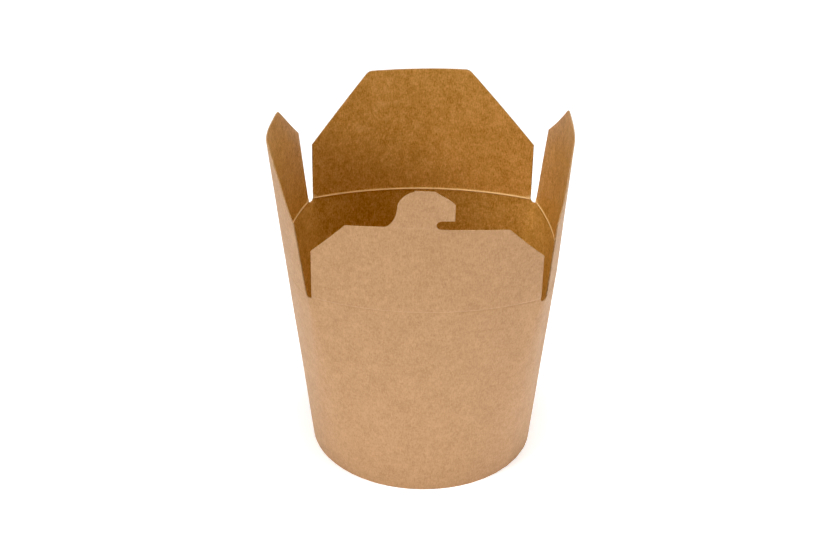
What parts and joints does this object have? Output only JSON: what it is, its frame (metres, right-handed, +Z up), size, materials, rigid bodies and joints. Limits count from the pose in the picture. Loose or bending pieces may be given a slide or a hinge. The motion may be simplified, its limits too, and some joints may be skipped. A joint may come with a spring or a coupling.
{
  "type": "noodle takeaway box",
  "caption": "Empty kraft board food box standing open: round foot, tapered body, bowed square mouth, hinged closing flaps, one with a hook-shaped locking tab.",
  "frame": {"origin": "middle of the bounding box's footprint, on the surface that the box stands on", "axes": "+Z up, the side that carries the hook flap faces -Y"},
  "size_m": [0.1178, 0.1018, 0.1408],
  "materials": {
    "kraft_board": "matt unbleached kraft board, darker and browner on the inside"
  },
  "bodies": {
    "tub": {"wall": "kraft_board", "base": "kraft_board"},
    "front_flap": {"flap_front": "kraft_board"},
    "right_flap": {"flap_right": "kraft_board"},
    "back_flap": {"flap_back": "kraft_board"},
    "left_flap": {"flap_left": "kraft_board"}
  },
  "joints": [
    {"name": "left_crease", "type": "hinge", "parent": "tub", "child": "left_flap", "pos_m": [-0.04309, -0.00209, 0.0765], "axis": [0, 1, 0], "range_deg": [0, 98]},
    {"name": "right_crease", "type": "hinge", "parent": "tub", "child": "right_flap", "pos_m": [0.04801, -0.00209, 0.0801], "axis": [0, -1, 0], "range_deg": [0, 95]},
    {"name": "back_crease", "type": "hinge", "parent": "tub", "child": "back_flap", "pos_m": [0.00246, 0.03489, 0.0843], "axis": [1, 0, 0], "range_deg": [0, 94]},
    {"name": "front_crease", "type": "hinge", "parent": "tub", "child": "front_flap", "pos_m": [0.00246, -0.03837, 0.0871], "axis": [-1, 0, 0], "range_deg": [0, 91]}
  ]
}
